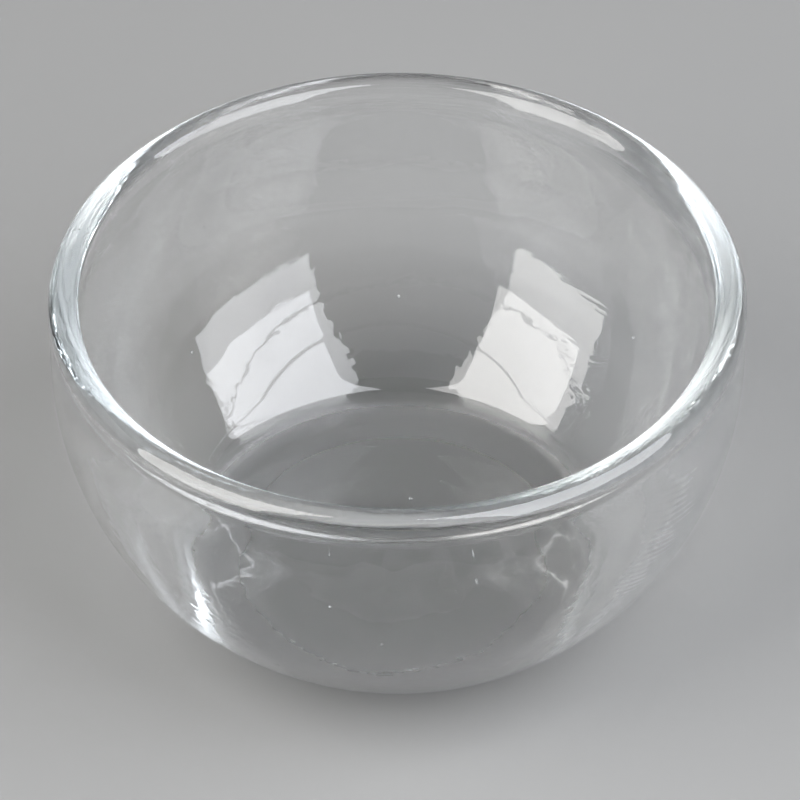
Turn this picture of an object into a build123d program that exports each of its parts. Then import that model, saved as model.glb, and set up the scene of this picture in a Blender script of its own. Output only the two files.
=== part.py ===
from build123d import *
import os

# A small, deep, round bowl in one piece of clear glass. A ball-shaped body stands on a
# flattened base and ends in a fire-polished rim, a round bead just wider than the neck
# below it. The wall is thickest at the rim and thins a little on its way down, as in blown
# glass. All sizes are in millimetres. The origin is the centre of the base, on the surface that the bowl
# stands on, and +Z points up through the mouth.

# Driving dimensions
OUTER_DIAMETER = 65.0
HEIGHT = 34.0
RIM_THICKNESS = 3.05
BODY_CENTRE_HEIGHT = 26.4
FLOOR_THICKNESS = 2.4
INNER_SIDE_RADIUS = 31.8
INNER_SIDE_HEIGHT = 25.2
INNER_CORNER_RADIUS = 4.5
NECK_RADIUS = 3.0
BASE_EDGE_RADIUS = 5.0

# Worked out from them
BODY_RADIUS = OUTER_DIAMETER / 2
BEAD_RADIUS = RIM_THICKNESS / 2
MOUTH_RADIUS = BODY_RADIUS - RIM_THICKNESS
BEAD_CENTRE_RADIUS = BODY_RADIUS - BEAD_RADIUS
BEAD_CENTRE_HEIGHT = HEIGHT - BEAD_RADIUS
INNER_SIDE_OFFSET = MOUTH_RADIUS - INNER_SIDE_RADIUS


def radius_at(arc_radius, centre_height, height):
    """How far out an arc reaches from its own centre at a height."""
    return (arc_radius**2 - (height - centre_height) ** 2) ** 0.5


# The section's corners, as distance from the axis and height
base_corner = (radius_at(BODY_RADIUS, BODY_CENTRE_HEIGHT, 0), 0)
body_side = (BODY_RADIUS, BODY_CENTRE_HEIGHT)
body_top = (radius_at(BODY_RADIUS, BODY_CENTRE_HEIGHT, BEAD_CENTRE_HEIGHT), BEAD_CENTRE_HEIGHT)
mouth_top = (MOUTH_RADIUS, BEAD_CENTRE_HEIGHT)
mouth_bottom = (MOUTH_RADIUS, INNER_SIDE_HEIGHT)
floor_corner_reach = radius_at(INNER_SIDE_RADIUS, INNER_SIDE_HEIGHT, FLOOR_THICKNESS)
floor_corner = (INNER_SIDE_OFFSET + floor_corner_reach, FLOOR_THICKNESS)

# Glass bowl: half of its section, turned round the axis
with BuildPart() as glass_bowl:
    with BuildSketch(Plane.XZ) as section:
        with BuildLine():
            Line((0, 0), base_corner)
            ThreePointArc(base_corner, body_side, body_top)
            Line(body_top, mouth_top)
            Line(mouth_top, mouth_bottom)
            RadiusArc(mouth_bottom, floor_corner, INNER_SIDE_RADIUS)
            Line(floor_corner, (0, FLOOR_THICKNESS))
            Line((0, FLOOR_THICKNESS), (0, 0))
        make_face()
        with Locations((BEAD_CENTRE_RADIUS, BEAD_CENTRE_HEIGHT)):
            Circle(BEAD_RADIUS)
        neck = section.vertices().sort_by(Axis.X)[-1]
        fillet(neck, NECK_RADIUS)
        fillet(section.vertices().sort_by_distance(base_corner)[0], BASE_EDGE_RADIUS)
        fillet(section.vertices().sort_by_distance(floor_corner)[0], INNER_CORNER_RADIUS)
    revolve(axis=Axis.Z)
glass_bowl.part.label = "glass_bowl"

os.makedirs("parts", exist_ok=True)
export_step(glass_bowl.part, "parts/glass_bowl.step")
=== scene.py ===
import math

import bmesh
import bpy
import numpy as np
from mathutils import Matrix, Vector


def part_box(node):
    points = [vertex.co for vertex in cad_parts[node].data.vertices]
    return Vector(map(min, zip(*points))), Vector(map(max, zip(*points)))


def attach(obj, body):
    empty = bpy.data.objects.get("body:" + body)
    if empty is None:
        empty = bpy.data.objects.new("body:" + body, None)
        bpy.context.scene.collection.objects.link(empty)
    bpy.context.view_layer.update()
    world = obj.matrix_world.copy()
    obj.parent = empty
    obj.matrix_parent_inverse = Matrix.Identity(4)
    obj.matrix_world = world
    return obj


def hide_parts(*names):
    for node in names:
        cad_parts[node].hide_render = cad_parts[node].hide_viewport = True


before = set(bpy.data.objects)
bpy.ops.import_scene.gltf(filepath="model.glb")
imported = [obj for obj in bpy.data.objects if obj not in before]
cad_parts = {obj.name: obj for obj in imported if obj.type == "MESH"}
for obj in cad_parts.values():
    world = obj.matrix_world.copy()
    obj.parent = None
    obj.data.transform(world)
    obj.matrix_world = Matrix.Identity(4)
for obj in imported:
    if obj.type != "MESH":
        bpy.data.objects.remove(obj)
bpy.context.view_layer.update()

# A small round bowl of clear, hand-worked glass on a pale floor. Lengths are in metres,
# in the frame of the CAD, and the bowl's outer size comes from its CAD box.

MM = 0.001
BOWL_LOW, BOWL_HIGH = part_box("glass_bowl")

# The bowl's section, as the CAD has it
BODY_RADIUS = (BOWL_HIGH.x - BOWL_LOW.x) / 2
HEIGHT = BOWL_HIGH.z
CENTRE_HEIGHT = 26.4 * MM
RIM_THICKNESS = 3.05 * MM
FLOOR_THICKNESS = 2.4 * MM
INNER_SIDE_RADIUS = 31.8 * MM
INNER_SIDE_HEIGHT = 25.2 * MM
INNER_CORNER_RADIUS = 4.5 * MM
NECK_RADIUS = 3.0 * MM
BASE_EDGE_RADIUS = 5.0 * MM
BEAD_RADIUS = RIM_THICKNESS / 2
BEAD_CENTRE = (BODY_RADIUS - BEAD_RADIUS, HEIGHT - BEAD_RADIUS)
MOUTH_RADIUS = BODY_RADIUS - RIM_THICKNESS

# The glass mesh
SEGMENTS = 320
SIDE_STEP = 0.55 * MM
FINE_STEP = 0.28 * MM
RANDOM_START = 11

# Swells in the glass's surfaces. Each is a count of waves, the least and most turns round the
# axis, the shortest and longest wave along the section, and a height. They start off the axis.
SLOW_SWELL = (9, (1, 4), (22 * MM, 60 * MM), 0.030 * MM)
QUICK_SWELL = (14, (3, 13), (9 * MM, 22 * MM), 0.010 * MM)
SWELL_FLOOR = 0.3
SWELL_START = 6 * MM

# The base is slightly hollow, so the bowl stands on a ring
BASE_HOLLOW = 0.25 * MM
BASE_TOP = 1 * MM
STANDING_RING = 16.4 * MM
HOLLOW_EDGE = 0.55 * STANDING_RING

# The inside sits a little off the outside's axis, and above SHIFT_TOP the shift fades out
INSIDE_SHIFT = (-0.45 * MM, -0.10 * MM)
SHIFT_TOP = 30 * MM

# Tiny bubbles left in the glass, some in the floor and the rest in the wall
SEEDS = 30
SEED_RADIUS = (0.05 * MM, 0.17 * MM)
SEED_STRETCH = (1.0, 1.6)
FLOOR_SEED_EVERY = 4
FLOOR_SEED_PLACE = (3 * MM, 12 * MM)
WALL_SEED_FOOT = 7 * MM
WALL_SEED_DEPTH = (0.4, 0.7)

# The glass's surface
GLASS_IOR = 1.5
GLASS_TINT = (0.87, 0.91, 0.92, 1)
TINT_DENSITY = 16.0
NECK_HEIGHT = 31.0 * MM
STREAK_LENGTH = 13 * MM
STREAK_WIDTH = 0.26 * MM
STREAK_RELIEF = 0.012 * MM
STREAK_RISE = (NECK_HEIGHT - 1.5 * MM, NECK_HEIGHT + 0.5 * MM)
# The mould's texture is on the outside only, which distance from the body's centre tells
MOULD_DISTANCE = (BODY_RADIUS - 1.6 * MM, BODY_RADIUS - 0.5 * MM)
MOULD_END = (NECK_HEIGHT, NECK_HEIGHT - 4 * MM)
MOULD_SIZE = 0.8 * MM
MOULD_TOP = 8 * MM
MOULD_FOOT = 3 * MM
MOULD_RELIEF = 0.0055 * MM
MOULD_FOOT_RELIEF = 0.011 * MM
RIPPLE_PITCH = 0.60 * MM
RIPPLE_FULL = 0.3
# Each patch's centre, its reach, the point that its ripples run round, and their height
RIPPLES = (
    (
        (26.0 * MM, -17.0 * MM, 18.0 * MM), 11.0 * MM,
        (40.0 * MM, -20.0 * MM, 44.0 * MM), 0.0024 * MM,
    ),
    (
        (21.5 * MM, 20.5 * MM, 11.0 * MM), 9.0 * MM,
        (0.0, 0.0, -20.0 * MM), 0.0012 * MM,
    ),
)
SMEAR_SIZE = 9 * MM
SMEAR_RANGE = (0.45, 0.75)
SMEAR_ROUGHNESS = 0.03
# Wear where the bowl stands: all of it on the ring, and BASE_WEAR of it inside the ring
SCUFF_RADIUS = 16.2 * MM
SCUFF_FADE = 4 * MM
SCUFF_HEIGHT = 2.3 * MM
SCUFF_FOOT = 0.1 * MM
SCUFF_ROUGHNESS = 0.32
BASE_WEAR = 0.12

# The floor runs up into a round backdrop
FLOOR_LEVEL = -0.02 * MM
FLOOR_RADIUS = 1.0
COVE_RADIUS = 0.6
WALL_TOP = 1.7
FLOOR_STEP = 0.05
COVE_STEP = 0.03
WALL_STEP = 0.1
FLOOR_SEGMENTS = 96
FLOOR_SHADE = 0.215
# The wall's paler tone is painted light that makes up for less lamp light reaching the backdrop
PAINTED_WALL_LIGHT = 0.8
FLOOR_WARMTH = 0.99
FLOOR_ROUGHNESS = 0.6
FLOOR_GLOSS = 0.25

# Two softboxes, up to the right and up to the left, as the bowl mirrors them: each one's name,
# centre, the vectors along its two edges, and colour
SOFTBOXES = (
    (
        "softbox_right", (0.388, -0.125, 0.357),
        (0.486, 0.299, 0.073), (-0.290, 0.240, 0.450), (0.94, 0.96, 1.0),
    ),
    (
        "softbox_left", (-0.349, -0.155, 0.310),
        (-0.283, 0.249, 0.034), (0.216, 0.211, 0.505), (1.0, 0.99, 0.97),
    ),
)
LIGHT_RADIANCE = 7.0
WORLD_COLOUR = (0.04, 0.04, 0.042, 1)

# The camera, on a long lens at the photograph's viewing angle. The lens and the sensor's width
# are in millimetres, and the angles in radians.
LENS = 271.6515
SENSOR = 36.0
CAMERA_ELEVATION = 0.730578
CAMERA_DISTANCE = 17.5961 * BODY_RADIUS
CAMERA_OFFSET = (0.0061182 * BODY_RADIUS, 0.0795138 * BODY_RADIUS)
CAMERA_ROLL = -0.0043034
CAMERA_NEAR = 0.01

# Light that the glass carries round inside it takes this many bounces to come out
BOUNCES = 48


def arc(centre, radius, start, end, step):
    """Points on an arc from angle start to just before angle end, about step apart."""
    count = max(2, math.ceil(abs(end - start) * radius / step))
    angles = start + (end - start) * np.arange(count) / count
    return [(centre[0] + radius * math.cos(a), centre[1] + radius * math.sin(a)) for a in angles]


def line(start, end, step):
    """Points on a line from start to just before end, about step apart."""
    count = max(2, math.ceil(math.dist(start, end) / step))
    span = np.array(end) - np.array(start)
    return [tuple(np.array(start) + span * i / count) for i in range(count)]


def outer_section():
    """The outside's half section from the middle of the base up to the top of the rim."""
    centre = (0.0, CENTRE_HEIGHT)
    edge_height = BASE_EDGE_RADIUS
    edge_radius = math.sqrt(
        (BODY_RADIUS - BASE_EDGE_RADIUS) ** 2 - (CENTRE_HEIGHT - edge_height) ** 2
    )
    edge_end = math.atan2(edge_height - CENTRE_HEIGHT, edge_radius)
    points = line((0.0, 0.0), (edge_radius, 0.0), SIDE_STEP)
    points += arc((edge_radius, edge_height), BASE_EDGE_RADIUS, -math.pi / 2, edge_end, FINE_STEP)
    # The neck's arc touches the body and the bead from outside
    to_bead = np.array(BEAD_CENTRE) - np.array(centre)
    span = np.hypot(*to_bead)
    from_body, from_bead = BODY_RADIUS + NECK_RADIUS, BEAD_RADIUS + NECK_RADIUS
    along = (from_body**2 - from_bead**2 + span**2) / (2 * span)
    across = math.sqrt(from_body**2 - along**2)
    unit = to_bead / span
    neck = np.array(centre) + unit * along + np.array([unit[1], -unit[0]]) * across
    body_end = math.atan2(neck[1] - centre[1], neck[0])
    points += arc(centre, BODY_RADIUS, edge_end, body_end, SIDE_STEP)
    neck_start = math.atan2(centre[1] - neck[1], -neck[0]) % (2 * math.pi)
    neck_end = math.atan2(BEAD_CENTRE[1] - neck[1], BEAD_CENTRE[0] - neck[0]) % (2 * math.pi)
    points += arc(neck, NECK_RADIUS, neck_start, neck_end, FINE_STEP / 2)
    bead_start = math.atan2(neck[1] - BEAD_CENTRE[1], neck[0] - BEAD_CENTRE[0])
    points += arc(BEAD_CENTRE, BEAD_RADIUS, bead_start, math.pi / 2, FINE_STEP / 2)
    return points


def inner_section():
    """The inside's half section from the top of the rim down to the middle of the floor."""
    points = arc(BEAD_CENTRE, BEAD_RADIUS, math.pi / 2, math.pi, FINE_STEP / 2)
    points += line((MOUTH_RADIUS, BEAD_CENTRE[1]), (MOUTH_RADIUS, INNER_SIDE_HEIGHT), SIDE_STEP)
    side = (MOUTH_RADIUS - INNER_SIDE_RADIUS, INNER_SIDE_HEIGHT)
    corner_height = FLOOR_THICKNESS + INNER_CORNER_RADIUS
    reach = INNER_SIDE_RADIUS - INNER_CORNER_RADIUS
    corner = (
        side[0] + math.sqrt(reach**2 - (INNER_SIDE_HEIGHT - corner_height) ** 2),
        corner_height,
    )
    side_end = math.atan2(corner[1] - side[1], corner[0] - side[0])
    points += arc(side, INNER_SIDE_RADIUS, 0.0, side_end, SIDE_STEP)
    points += arc(corner, INNER_CORNER_RADIUS, side_end, -math.pi / 2, SIDE_STEP)
    points += line((corner[0], FLOOR_THICKNESS), (0.0, FLOOR_THICKNESS), SIDE_STEP)
    return points + [(0.0, FLOOR_THICKNESS)]


def section_normals(section):
    """Unit vectors that point out of the glass at the section's points."""
    tangents = np.gradient(section, axis=0)
    normals = np.stack([tangents[:, 1], -tangents[:, 0]], axis=1)
    return normals / np.linalg.norm(normals, axis=1)[:, None]


def waves(rng, arc_length, angles, count, around, along, height):
    """A smooth random swell of about height, and at least SWELL_FLOOR of it, over the angle round
    the axis and the distance along the section. around bounds the waves' turns, and along their
    lengths."""
    total = np.zeros((len(arc_length), len(angles)))
    for _ in range(count):
        turns = rng.integers(around[0], around[1] + 1)
        pitch = rng.uniform(*along)
        phase = rng.uniform(0, 2 * math.pi)
        total += np.cos(turns * angles[None, :] + arc_length[:, None] * 2 * math.pi / pitch + phase)
    return height * np.hypot(1 + total / math.sqrt(count), SWELL_FLOOR)


def smooth(low, high, value):
    """0 below low, 1 above high and an even rise between them."""
    t = np.clip((value - low) / (high - low), 0, 1)
    return t * t * (3 - 2 * t)


def bowl_mesh():
    """The bowl as one closed mesh, with the slight swells that hand-worked glass has."""
    outside, inside = outer_section(), inner_section()
    section = np.array(outside + inside)
    normals = section_normals(section)
    steps = np.linalg.norm(np.diff(section, axis=0), axis=1)
    arc_length = np.concatenate([[0], np.cumsum(steps)])
    angles = np.arange(SEGMENTS) * 2 * math.pi / SEGMENTS
    rng = np.random.default_rng(RANDOM_START)
    swell = waves(rng, arc_length, angles, *SLOW_SWELL)
    swell += waves(rng, arc_length, angles, *QUICK_SWELL)
    # Only ever inwards, so that the glass stays inside its CAD box, and none in the middle
    fade = smooth(0.0, SWELL_START, section[:, 0])
    depth = -swell * fade[:, None]
    radius = section[:, 0, None] + normals[:, 0, None] * depth
    height = section[:, 1, None] + normals[:, 1, None] * depth
    on_inside = np.arange(len(section)) >= len(outside)
    under = ~on_inside & (section[:, 1] < BASE_TOP)
    hollow = BASE_HOLLOW * (1 - smooth(HOLLOW_EDGE, STANDING_RING, section[:, 0]))
    height = np.where(under[:, None], np.maximum(height, 0) + hollow[:, None], height)
    shift = on_inside * (1 - smooth(SHIFT_TOP, HEIGHT, section[:, 1]))
    x = radius * np.cos(angles)[None, :] + (shift * INSIDE_SHIFT[0])[:, None]
    y = radius * np.sin(angles)[None, :] + (shift * INSIDE_SHIFT[1])[:, None]
    points = np.stack([x, y, height], axis=2)
    # The section's two ends lie on the axis, and each is one vertex
    corners = points[1:-1].reshape(-1, 3)
    vertices = np.vstack([corners, points[[0, -1], 0]])
    bottom, floor = len(corners), len(corners) + 1
    faces = []
    for low in range(0, len(corners) - SEGMENTS, SEGMENTS):
        high = low + SEGMENTS
        for j in range(SEGMENTS):
            k = (j + 1) % SEGMENTS
            faces.append((low + j, low + k, high + k, high + j))
    last = len(corners) - SEGMENTS
    for j in range(SEGMENTS):
        k = (j + 1) % SEGMENTS
        faces.append((bottom, k, j))
        faces.append((floor, last + j, last + k))
    for place, radius in seeds(rng):
        ball, ball_faces = bubble(place, radius, rng)
        faces += [tuple(len(vertices) + i for i in face) for face in ball_faces]
        vertices = np.vstack([vertices, ball])
    return vertices, faces


def seeds(rng):
    """Places and radii of the bubbles, in the thick of the wall and of the floor."""
    for i in range(SEEDS):
        radius = rng.uniform(*SEED_RADIUS)
        turn = rng.uniform(0, 2 * math.pi)
        if i % FLOOR_SEED_EVERY == 0:
            out, up = rng.uniform(*FLOOR_SEED_PLACE), 0.5 * FLOOR_THICKNESS
        else:
            up = rng.uniform(WALL_SEED_FOOT, CENTRE_HEIGHT)
            outside = math.sqrt(BODY_RADIUS**2 - (CENTRE_HEIGHT - up) ** 2)
            inside = MOUTH_RADIUS - INNER_SIDE_RADIUS
            inside += math.sqrt(INNER_SIDE_RADIUS**2 - (INNER_SIDE_HEIGHT - up) ** 2)
            out = inside + (outside - inside) * rng.uniform(*WALL_SEED_DEPTH)
        yield (out * math.cos(turn), out * math.sin(turn), up), radius


def bubble(place, radius, rng):
    """A closed hollow, flattened a little, whose faces look into it, out of the glass."""
    ball = bmesh.new()
    bmesh.ops.create_icosphere(ball, subdivisions=2, radius=radius)
    bmesh.ops.reverse_faces(ball, faces=ball.faces)
    points = np.array([v.co for v in ball.verts])
    points[:, 2] /= rng.uniform(*SEED_STRETCH)
    faces = [tuple(v.index for v in face.verts) for face in ball.faces]
    ball.free()
    return points + np.array(place), faces


def backdrop_mesh():
    """The floor, the cove and the wall behind it, turned round the bowl's axis."""
    section = line((0.0, FLOOR_LEVEL), (FLOOR_RADIUS, FLOOR_LEVEL), FLOOR_STEP)[1:]
    cove = (FLOOR_RADIUS, FLOOR_LEVEL + COVE_RADIUS)
    section += arc(cove, COVE_RADIUS, -math.pi / 2, 0.0, COVE_STEP)
    wall = FLOOR_RADIUS + COVE_RADIUS
    section += line((wall, cove[1]), (wall, WALL_TOP), WALL_STEP) + [(wall, WALL_TOP)]
    turn = np.arange(FLOOR_SEGMENTS) * 2 * math.pi / FLOOR_SEGMENTS
    vertices = [(r * math.cos(a), r * math.sin(a), z) for r, z in section for a in turn]
    faces = []
    for low in range(0, len(vertices) - FLOOR_SEGMENTS, FLOOR_SEGMENTS):
        high = low + FLOOR_SEGMENTS
        for j in range(FLOOR_SEGMENTS):
            k = (j + 1) % FLOOR_SEGMENTS
            faces.append((low + j, high + j, high + k, low + k))
    faces.append(tuple(range(FLOOR_SEGMENTS)))
    return vertices, faces


def new_object(name, vertices, faces, material):
    """A smooth mesh object in the scene."""
    mesh = bpy.data.meshes.new(name)
    mesh.from_pydata([tuple(v) for v in vertices], [], faces)
    mesh.update()
    mesh.shade_smooth()
    mesh.materials.append(material)
    made = bpy.data.objects.new(name, mesh)
    bpy.context.scene.collection.objects.link(made)
    return made


def new_material(name):
    """A material with its Principled shader, and its node tree."""
    material = bpy.data.materials.new(name)
    material.use_nodes = True
    return material, material.node_tree.nodes["Principled BSDF"], material.node_tree


def add(tree, kind, inputs=None, **settings):
    """A new node. inputs gives each socket, by name or number, its value or what feeds it."""
    made = tree.nodes.new(kind)
    for name, value in settings.items():
        setattr(made, name, value)
    for name, value in (inputs or {}).items():
        if isinstance(value, bpy.types.NodeSocket):
            tree.links.new(value, made.inputs[name])
        else:
            made.inputs[name].default_value = value
    return made.outputs


def times(tree, first, second):
    return add(tree, "ShaderNodeMath", {0: first, 1: second}, operation="MULTIPLY")[0]


def plus(tree, first, second):
    return add(tree, "ShaderNodeMath", {0: first, 1: second}, operation="ADD")[0]


def distance(tree, place, point):
    return add(tree, "ShaderNodeVectorMath", {0: place, 1: point}, operation="DISTANCE")["Value"]


def rise(tree, value, start, end, low=0.0, high=1.0):
    """low where value is at start or before, high at end or beyond, and smooth between."""
    inputs = {"Value": value, 1: start, 2: end, 3: low, 4: high}
    return add(tree, "ShaderNodeMapRange", inputs, interpolation_type="SMOOTHSTEP")[0]


def streaks(tree, height, radius, turn):
    """Noise drawn out round the axis, in long thin streaks."""
    up = add(tree, "ShaderNodeCombineXYZ", {"Z": times(tree, height, 1 / STREAK_WIDTH)})[0]
    reach = BODY_RADIUS / STREAK_LENGTH
    inputs = {0: turn, 1: (reach, reach, 0), 2: up}
    vector = add(tree, "ShaderNodeVectorMath", inputs, operation="MULTIPLY_ADD")[0]
    out = times(tree, radius, 1 / STREAK_WIDTH)
    inputs = {"Vector": vector, "W": out, "Scale": 1.0, "Detail": 1.0}
    return add(tree, "ShaderNodeTexNoise", inputs, noise_dimensions="4D")[0]


def glass_material():
    """Clear glass: drawn-out streaks round the bead, a mould's texture and two patches of chill
    ripples on the body, faint smears, and wear under the base, most of all on its ring."""
    material, shader, tree = new_material("clear_glass")
    shader.inputs["Base Color"].default_value = (1, 1, 1, 1)
    shader.inputs["Transmission Weight"].default_value = 1.0
    shader.inputs["IOR"].default_value = GLASS_IOR
    place = add(tree, "ShaderNodeTexCoord")["Object"]
    height = add(tree, "ShaderNodeSeparateXYZ", {0: place})["Z"]
    level = add(tree, "ShaderNodeVectorMath", {0: place, 1: (1, 1, 0)}, operation="MULTIPLY")[0]
    radius = add(tree, "ShaderNodeVectorMath", {0: level}, operation="LENGTH")["Value"]
    turn = add(tree, "ShaderNodeVectorMath", {0: level}, operation="NORMALIZE")[0]

    # Heights of the relief, in metres
    on_bead = rise(tree, height, *STREAK_RISE)
    relief = times(tree, streaks(tree, height, radius, turn), on_bead)
    relief = times(tree, relief, STREAK_RELIEF)
    # The outside keeps the mould's texture, and more of it low down; the inside is smooth
    outside = rise(tree, distance(tree, place, (0, 0, CENTRE_HEIGHT)), *MOULD_DISTANCE)
    outside = times(tree, outside, rise(tree, height, *MOULD_END))
    low_down = rise(tree, height, MOULD_TOP, MOULD_FOOT, MOULD_RELIEF, MOULD_FOOT_RELIEF)
    inputs = {"Vector": place, "Scale": 1 / MOULD_SIZE, "Detail": 0.0}
    mould = add(tree, "ShaderNodeTexNoise", inputs)[0]
    relief = plus(tree, relief, times(tree, times(tree, mould, low_down), outside))
    for centre, reach, bend, ripple_height in RIPPLES:
        near = rise(tree, distance(tree, place, centre), reach, RIPPLE_FULL * reach)
        band = times(tree, distance(tree, place, bend), 2 * math.pi / RIPPLE_PITCH)
        band = add(tree, "ShaderNodeMath", {0: band}, operation="SINE")[0]
        relief = plus(tree, relief, times(tree, times(tree, band, near), ripple_height))
    bump = add(tree, "ShaderNodeBump", {"Strength": 1.0, "Distance": 1.0, "Height": relief})[0]
    tree.links.new(bump, shader.inputs["Normal"])

    inputs = {"Vector": place, "Scale": 1 / SMEAR_SIZE, "Detail": 2.0}
    smears = add(tree, "ShaderNodeTexNoise", inputs)[0]
    smears = rise(tree, smears, *SMEAR_RANGE, 0.0, SMEAR_ROUGHNESS)
    near_ring = rise(tree, radius, SCUFF_RADIUS - SCUFF_FADE, SCUFF_RADIUS, BASE_WEAR, 1.0)
    scuffed = times(tree, rise(tree, height, SCUFF_HEIGHT, SCUFF_FOOT), near_ring)
    rough = plus(tree, smears, times(tree, scuffed, SCUFF_ROUGHNESS))
    tree.links.new(rough, shader.inputs["Roughness"])

    inputs = {"Color": GLASS_TINT, "Density": TINT_DENSITY}
    volume = add(tree, "ShaderNodeVolumeAbsorption", inputs)[0]
    tree.links.new(volume, tree.nodes["Material Output"].inputs["Volume"])
    return material


def floor_material():
    """Matt pale card, painted paler where it stands up as the backdrop: painted light that makes up
    for the backdrop lying further from the lights.
    """
    material, shader, tree = new_material("pale_floor")
    place = add(tree, "ShaderNodeTexCoord")["Object"]
    height = add(tree, "ShaderNodeSeparateXYZ", {0: place})["Z"]
    # Painted light: the tone rises up the cove to the wall's paler value, making up for the lamps'
    # light falling off up the backdrop
    floor_tone_and_painted_light = rise(tree, height, FLOOR_LEVEL, COVE_RADIUS, FLOOR_SHADE, PAINTED_WALL_LIGHT)
    inputs = {0: floor_tone_and_painted_light, 1: floor_tone_and_painted_light, 2: times(tree, floor_tone_and_painted_light, FLOOR_WARMTH)}
    colour = add(tree, "ShaderNodeCombineXYZ", inputs)[0]
    tree.links.new(colour, shader.inputs["Base Color"])
    shader.inputs["Roughness"].default_value = FLOOR_ROUGHNESS
    shader.inputs["Specular IOR Level"].default_value = FLOOR_GLOSS
    return material


def softbox(name, centre, first_edge, second_edge, colour):
    """A rectangular light that faces the bowl. Its two edges are the vectors along its sides."""
    first, second = Vector(first_edge), Vector(second_edge)
    second -= first * (second.dot(first) / first.dot(first))
    across, up = first.normalized(), second.normalized()
    away = across.cross(up)
    if away.dot(Vector(centre)) < 0:
        across, away = -across, -away
    light = bpy.data.lights.new(name, "AREA")
    light.shape = "RECTANGLE"
    light.size, light.size_y = first.length, second.length
    light.energy = LIGHT_RADIANCE * math.pi * light.size * light.size_y
    light.color = colour
    made = bpy.data.objects.new(name, light)
    bpy.context.scene.collection.objects.link(made)
    place = Matrix((across, up, away)).transposed().to_4x4()
    place.translation = Vector(centre)
    made.matrix_world = place
    made.visible_camera = False


def camera():
    """The scene's camera, aimed a little above the middle of the bowl."""
    right = Vector((1, 0, 0))
    up = Vector((0, math.sin(CAMERA_ELEVATION), math.cos(CAMERA_ELEVATION)))
    back = Vector((0, -math.cos(CAMERA_ELEVATION), math.sin(CAMERA_ELEVATION)))
    data = bpy.data.cameras.new("camera")
    data.sensor_width = SENSOR
    data.lens = LENS
    data.clip_start = CAMERA_NEAR
    made = bpy.data.objects.new("camera", data)
    bpy.context.scene.collection.objects.link(made)
    place = Matrix((right, up, back)).transposed().to_4x4()
    aim = Vector((0, 0, BODY_RADIUS / 2)) + right * CAMERA_OFFSET[0] + up * CAMERA_OFFSET[1]
    place.translation = aim + back * CAMERA_DISTANCE
    made.matrix_world = place @ Matrix.Rotation(CAMERA_ROLL, 4, "Z")
    bpy.context.scene.camera = made


bowl = new_object("bowl_glass", *bowl_mesh(), glass_material())
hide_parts("glass_bowl")
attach(bowl, "root")

floor = new_object("floor", *backdrop_mesh(), floor_material())

for settings in SOFTBOXES:
    softbox(*settings)
camera()

world = bpy.data.worlds.new("studio")
world.use_nodes = True
world.node_tree.nodes["Background"].inputs["Color"].default_value = WORLD_COLOUR
scene = bpy.context.scene
scene.world = world
scene.view_settings.view_transform = "Standard"
scene.cycles.use_denoising = True
scene.cycles.max_bounces = BOUNCES
scene.cycles.transmission_bounces = BOUNCES
scene.cycles.glossy_bounces = BOUNCES
scene.cycles.caustics_reflective = True
scene.cycles.caustics_refractive = True
